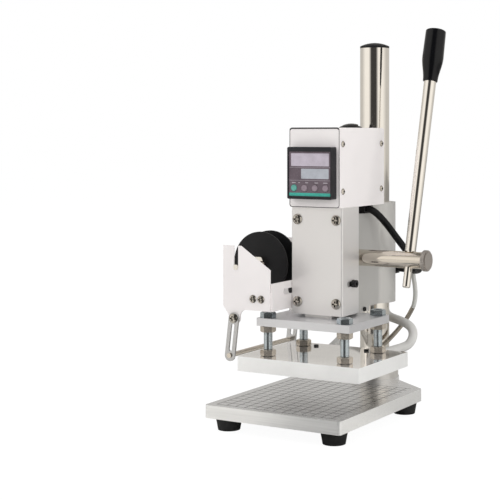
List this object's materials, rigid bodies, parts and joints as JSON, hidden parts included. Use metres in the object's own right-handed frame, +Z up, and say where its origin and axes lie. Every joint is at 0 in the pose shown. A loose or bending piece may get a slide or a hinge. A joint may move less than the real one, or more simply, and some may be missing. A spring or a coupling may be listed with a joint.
{
  "type": "hot foil stamping press",
  "caption": "Bench hot foil stamping press with a column stand, sliding head, temperature controller, side lever, rack-driven heated plate and foil reel bracket.",
  "frame": {"origin": "on the base plate's top face, the work bed, under the middle of the heater plate", "axes": "+X to the machine's right (lever side), -Y to its front (operator's side), +Z up the column"},
  "size_m": [0.1944, 0.2345, 0.3762],
  "materials": {
    "plate_aluminium": "polished",
    "body_aluminium": "satin anodised",
    "cover_paint": "fine satin paint",
    "white_paint": "satin paint",
    "bright_steel": "polished nickel",
    "plain_steel": "turned",
    "zinc": "zinc plated",
    "black_steel": "black oxide",
    "bronze": "machined",
    "black_plastic": "fine grain",
    "gloss_black": "moulded gloss",
    "button_grey": "satin",
    "button_teal": "satin",
    "display": "smoked",
    "rubber": "matt",
    "harness": "sleeving",
    "glass_sleeve": "woven sleeving",
    "sensor_braid": "braided"
  },
  "bodies": {
    "stand": {"base_plate": "plate_aluminium", "rubber_feet": "rubber", "base_screws": "zinc", "column": "bright_steel", "column_foot_ring": "plate_aluminium", "column_cap": "black_plastic"},
    "head": {"head_body": "body_aluminium", "front_cover": "cover_paint", "cover_screws": "bright_steel", "ram_gib": "bronze", "head_set_screws": "black_steel", "shaft_bushes": "bronze", "spring_anchor_pin": "plain_steel", "return_spring": "plain_steel", "box_chassis": "white_paint", "box_rear": "white_paint", "box_cover": "white_paint", "box_screws": "bright_steel", "front_panel": "white_paint", "controller_body": "black_plastic", "controller_bezel": "black_plastic", "controller_face": "display", "switch_body": "black_plastic", "power_inlet": "black_plastic", "cable_grommet": "rubber", "lead_clip": "black_plastic", "harness_sleeve": "harness", "sensor_lead": "sensor_braid", "heater_lead_right": "glass_sleeve", "heater_lead_left": "glass_sleeve", "bracket_side_plate": "white_paint", "bracket_front_plate": "white_paint", "bracket_rear_plate": "white_paint", "bracket_screws": "bright_steel", "bracket_clamp_screws": "black_steel"},
    "ram": {"ram_rack": "plain_steel", "upper_plate": "plate_aluminium", "upper_plate_screws": "black_steel", "adjusting_bolts": "zinc", "bolt_nuts": "bright_steel", "heater_plate": "plate_aluminium", "cartridge_heaters": "plain_steel", "heater_set_screws": "black_steel", "temperature_probe": "bright_steel"},
    "lever": {"drive_shaft": "bright_steel", "pinion": "plain_steel", "lever_rod": "bright_steel", "lever_grip": "gloss_black", "shaft_end_cap": "bright_steel"},
    "reel": {"reel_axle": "bright_steel", "reel_discs": "black_plastic", "reel_core": "black_plastic", "reel_hub_nuts": "bright_steel"},
    "guide": {"guide_arms": "bright_steel", "guide_rod": "bright_steel"},
    "button_1": {"button_1": "button_teal"},
    "button_2": {"button_2": "button_grey"},
    "button_3": {"button_3": "button_grey"},
    "button_4": {"button_4": "button_grey"},
    "rocker": {"power_rocker": "gloss_black"}
  },
  "joints": [
    {"name": "head_height", "type": "slide", "parent": "stand", "child": "head", "axis": [0, 0, 1], "range_m": [0, 0.15]},
    {"name": "lever_swing", "type": "hinge", "parent": "head", "child": "lever", "pos_m": [0.076, 0.031, 0.1287], "axis": [1, 0, 0], "range_deg": [0, 114.6]},
    {"name": "ram_slide", "type": "slide", "parent": "head", "child": "ram", "axis": [0, 0, -1], "range_m": [0, 0.0226], "stiffness_N_per_m": 600, "springref_m": -0.05, "deforming": ["return_spring", "sensor_lead", "heater_lead_right", "heater_lead_left"]},
    {"name": "reel_spin", "type": "hinge", "parent": "head", "child": "reel", "pos_m": [-0.0675, 0, 0.1218], "axis": [0, 1, 0], "continuous": true},
    {"name": "guide_swing", "type": "hinge", "parent": "head", "child": "guide", "pos_m": [-0.0688, 0, 0.0737], "axis": [0, 1, 0], "range_deg": [0, 100]},
    {"name": "button_1_press", "type": "slide", "parent": "head", "child": "button_1", "axis": [0, 1, 0], "range_m": [0, 0.0006], "stiffness_N_per_m": 300, "springref_m": -0.0005},
    {"name": "button_2_press", "type": "slide", "parent": "head", "child": "button_2", "axis": [0, 1, 0], "range_m": [0, 0.0006], "stiffness_N_per_m": 300, "springref_m": -0.0005},
    {"name": "button_3_press", "type": "slide", "parent": "head", "child": "button_3", "axis": [0, 1, 0], "range_m": [0, 0.0006], "stiffness_N_per_m": 300, "springref_m": -0.0005},
    {"name": "button_4_press", "type": "slide", "parent": "head", "child": "button_4", "axis": [0, 1, 0], "range_m": [0, 0.0006], "stiffness_N_per_m": 300, "springref_m": -0.0005},
    {"name": "rocker_tip", "type": "hinge", "parent": "head", "child": "rocker", "pos_m": [0, 0.054, 0.252], "axis": [1, 0, 0], "range_deg": [-14, 0]}
  ],
  "couplings": [
    {"joint": "ram_slide", "follows": "lever_swing", "m_per_rad": 0.01125}
  ]
}
